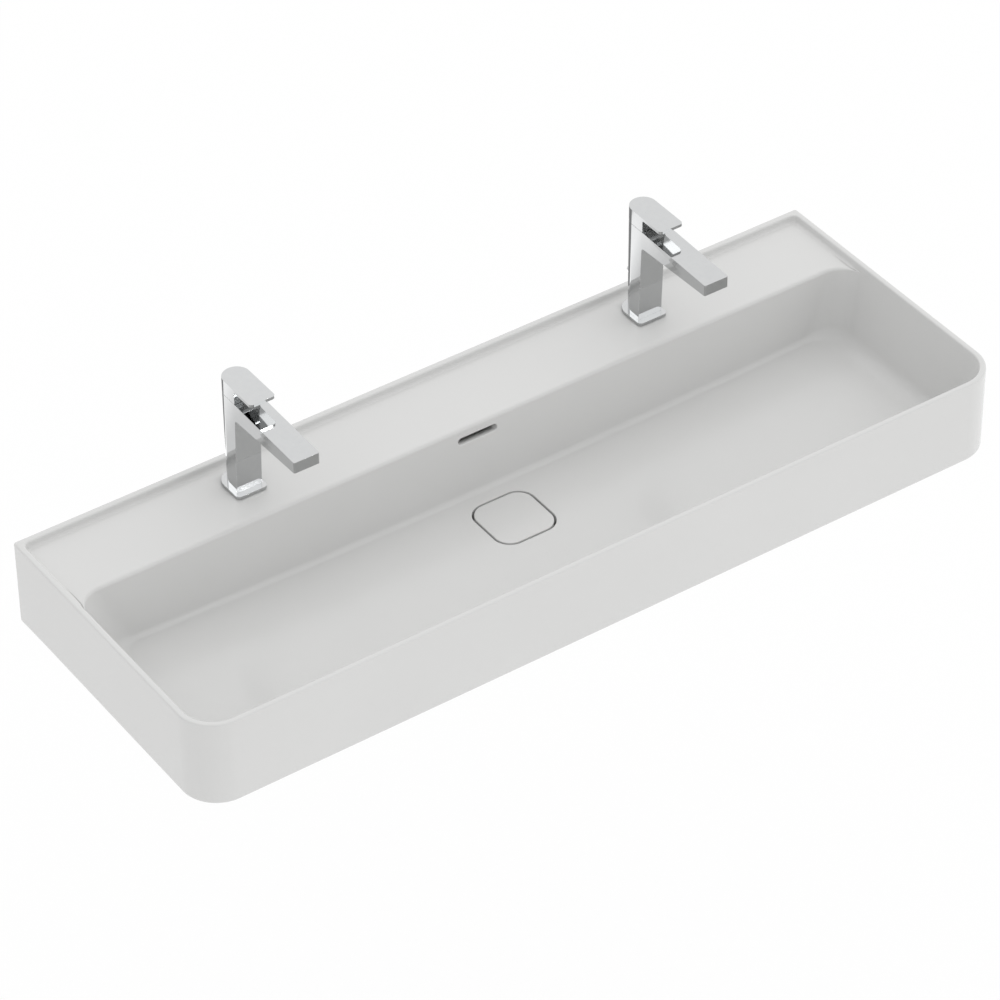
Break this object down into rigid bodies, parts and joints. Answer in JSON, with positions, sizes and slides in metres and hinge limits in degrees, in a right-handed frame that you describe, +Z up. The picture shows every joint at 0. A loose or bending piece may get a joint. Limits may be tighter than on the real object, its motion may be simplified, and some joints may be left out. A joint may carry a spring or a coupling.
{
  "type": "wall-hung basin",
  "caption": "Wide rectangular ceramic wall basin with a rear tap deck, flat-lever chrome mixers, lift rods, an overflow slot and a square ceramic cover over a push-to-open waste.",
  "frame": {"origin": "on the wall face, midway between the two wall bolt holes", "axes": "+Z up, +Y into the wall, +X to the right as seen from the front"},
  "size_m": [1.2, 0.43, 0.423],
  "materials": {
    "vitreous_china": "glossy",
    "polished_chrome": "polished",
    "brass": "turned",
    "black_rubber": "matte",
    "white_plastic": "matte",
    "alumina": "lapped",
    "stainless_steel": "brushed"
  },
  "bodies": {
    "basin": {"aerator_seals": "black_rubber", "basin_body": "vitreous_china", "cartridge_seals": "black_rubber", "click_cartridge": "brass", "fixing_nuts": "stainless_steel", "fixing_studs": "stainless_steel", "flange_gasket": "black_rubber", "horseshoe_pads": "black_rubber", "horseshoe_plates": "stainless_steel", "left_aerator_housing": "polished_chrome", "left_aerator_insert": "white_plastic", "left_base_gasket": "black_rubber", "left_base_plate": "polished_chrome", "left_cartridge_housing": "white_plastic", "left_cartridge_nut": "brass", "left_fixed_disc": "alumina", "left_tap_body": "polished_chrome", "right_aerator_housing": "polished_chrome", "right_aerator_insert": "white_plastic", "right_base_gasket": "black_rubber", "right_base_plate": "polished_chrome", "right_cartridge_housing": "white_plastic", "right_cartridge_nut": "brass", "right_fixed_disc": "alumina", "right_tap_body": "polished_chrome", "tail_pipe": "polished_chrome", "under_gasket": "black_rubber", "waste_body": "polished_chrome", "waste_locknut": "polished_chrome", "waste_washer": "white_plastic"},
    "left_rotor": {"left_cartridge_rotor": "white_plastic", "left_stem_pin": "stainless_steel"},
    "left_handle": {"left_lever": "polished_chrome", "left_lever_stem": "stainless_steel", "left_grub_screw": "stainless_steel"},
    "left_disc": {"left_moving_disc": "alumina"},
    "left_rod": {"left_lift_rod": "polished_chrome", "left_lift_knob": "polished_chrome", "left_rod_stop": "stainless_steel"},
    "right_rotor": {"right_cartridge_rotor": "white_plastic", "right_stem_pin": "stainless_steel"},
    "right_handle": {"right_lever": "polished_chrome", "right_lever_stem": "stainless_steel", "right_grub_screw": "stainless_steel"},
    "right_disc": {"right_moving_disc": "alumina"},
    "right_rod": {"right_lift_rod": "polished_chrome", "right_lift_knob": "polished_chrome", "right_rod_stop": "stainless_steel"},
    "waste_plug": {"waste_cover": "vitreous_china", "plug_disc": "brass", "plug_seal": "black_rubber", "click_plunger": "brass"}
  },
  "joints": [
    {"name": "left_lever_swivel", "type": "hinge", "parent": "basin", "child": "left_rotor", "pos_m": [-0.306, -0.0575, 0.2], "axis": [0, 0, 1], "range_deg": [-45, 45]},
    {"name": "left_lever_tilt", "type": "hinge", "parent": "left_rotor", "child": "left_handle", "pos_m": [-0.306, -0.053, 0.2095], "axis": [-1, 0, 0], "range_deg": [0, 18]},
    {"name": "left_disc_slide", "type": "slide", "parent": "left_rotor", "child": "left_disc", "axis": [0, -1, 0], "range_m": [0, 0.0036]},
    {"name": "left_rod_lift", "type": "slide", "parent": "basin", "child": "left_rod", "axis": [0, 0, 1], "range_m": [0, 0.02]},
    {"name": "right_lever_swivel", "type": "hinge", "parent": "basin", "child": "right_rotor", "pos_m": [0.306, -0.0575, 0.2], "axis": [0, 0, 1], "range_deg": [-45, 45]},
    {"name": "right_lever_tilt", "type": "hinge", "parent": "right_rotor", "child": "right_handle", "pos_m": [0.306, -0.053, 0.2095], "axis": [-1, 0, 0], "range_deg": [0, 18]},
    {"name": "right_disc_slide", "type": "slide", "parent": "right_rotor", "child": "right_disc", "axis": [0, -1, 0], "range_m": [0, 0.0036]},
    {"name": "right_rod_lift", "type": "slide", "parent": "basin", "child": "right_rod", "axis": [0, 0, 1], "range_m": [0, 0.02]},
    {"name": "cover_lift", "type": "slide", "parent": "basin", "child": "waste_plug", "axis": [0, 0, 1], "range_m": [0, 0.008]}
  ],
  "couplings": [
    {"joint": "left_disc_slide", "follows": "left_lever_tilt", "m_per_rad": 0.0108},
    {"joint": "right_disc_slide", "follows": "right_lever_tilt", "m_per_rad": 0.0108}
  ]
}
